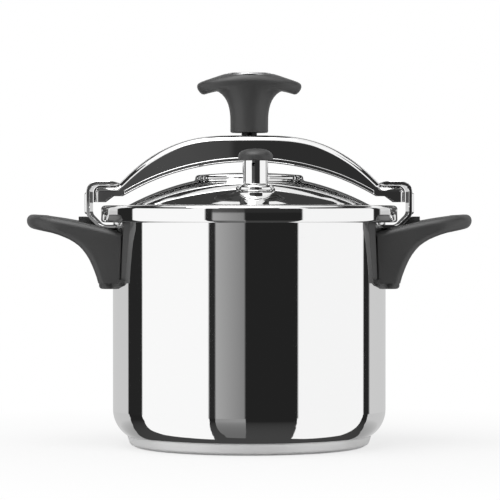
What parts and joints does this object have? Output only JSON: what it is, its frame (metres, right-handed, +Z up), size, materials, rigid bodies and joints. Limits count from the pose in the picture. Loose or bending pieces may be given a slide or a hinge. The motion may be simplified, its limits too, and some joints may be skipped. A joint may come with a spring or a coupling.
{
  "type": "stovetop pressure cooker",
  "caption": "Tall polished steel stovetop pressure cooker with short black side handles, an arched bridge clamped under C-shaped brackets, a black T-shaped screw knob and a weighted valve.",
  "frame": {"origin": "centre of the base on the table", "axes": "+Z up, handles along X, valve side towards -Y"},
  "size_m": [0.3608, 0.2412, 0.3035],
  "materials": {
    "polished_steel": "mirror-polished stainless steel",
    "satin_steel": "satin stainless steel",
    "black_steel": "black oxide",
    "base_aluminium": "plain rolled",
    "black_phenolic": "moulded, slightly glossy",
    "disc_aluminium": "satin, bare",
    "grey_rubber": "matt silicone",
    "valve_brass": "turned"
  },
  "bodies": {
    "pot": {"pot_body": "polished_steel", "base_core": "base_aluminium", "base_shell": "satin_steel", "bracket_left": "polished_steel", "bracket_right": "polished_steel", "handle_left": "black_phenolic", "handle_right": "black_phenolic", "handle_nuts": "satin_steel", "handle_screws": "satin_steel"},
    "lid": {"lid": "polished_steel", "lid_gasket": "grey_rubber", "vent_pipe": "polished_steel", "vent_seal": "grey_rubber", "vent_nut": "satin_steel", "safety_housing": "valve_brass", "safety_seal": "grey_rubber", "safety_nut": "valve_brass", "safety_spring": "satin_steel"},
    "bridge": {"bridge": "polished_steel", "bridge_bush": "satin_steel"},
    "pad": {"pressure_pad": "satin_steel"},
    "knob": {"screw_spindle": "black_steel", "knob": "black_phenolic", "knob_disc": "disc_aluminium", "knob_washer": "satin_steel", "knob_screw": "satin_steel"},
    "needle": {"valve_needle": "satin_steel"},
    "weight": {"valve_weight": "polished_steel", "valve_cap": "black_phenolic"},
    "plunger": {"safety_plunger": "valve_brass"}
  },
  "joints": [
    {"name": "lid_turn", "type": "hinge", "parent": "pot", "child": "lid", "pos_m": [0, 0, 0.19], "axis": [0, 0, 1], "range_deg": [-12, 12]},
    {"name": "bridge_swing", "type": "hinge", "parent": "pot", "child": "bridge", "pos_m": [0, 0, 0.25], "axis": [0, 0, 1], "range_deg": [-40, 40]},
    {"name": "screw_travel", "type": "slide", "parent": "bridge", "child": "pad", "axis": [0, 0, 1], "range_m": [0, 0.006]},
    {"name": "knob_turn", "type": "hinge", "parent": "pad", "child": "knob", "pos_m": [0, 0, 0.26], "axis": [0, 0, 1], "range_deg": [0, 1080]},
    {"name": "valve_lift", "type": "slide", "parent": "lid", "child": "needle", "axis": [0, 0, 1], "range_m": [0, 0.008]},
    {"name": "valve_spin", "type": "hinge", "parent": "needle", "child": "weight", "pos_m": [0.0049, -0.069, 0.22], "axis": [0, 0, 1], "continuous": true},
    {"name": "safety_rise", "type": "slide", "parent": "lid", "child": "plunger", "axis": [0, 0, 1], "range_m": [0, 0.0025], "stiffness_N_per_m": 2000, "springref_m": -0.002, "deforming": ["safety_spring"]}
  ],
  "couplings": [
    {"joint": "screw_travel", "follows": "knob_turn", "m_per_rad": 0.000318}
  ]
}
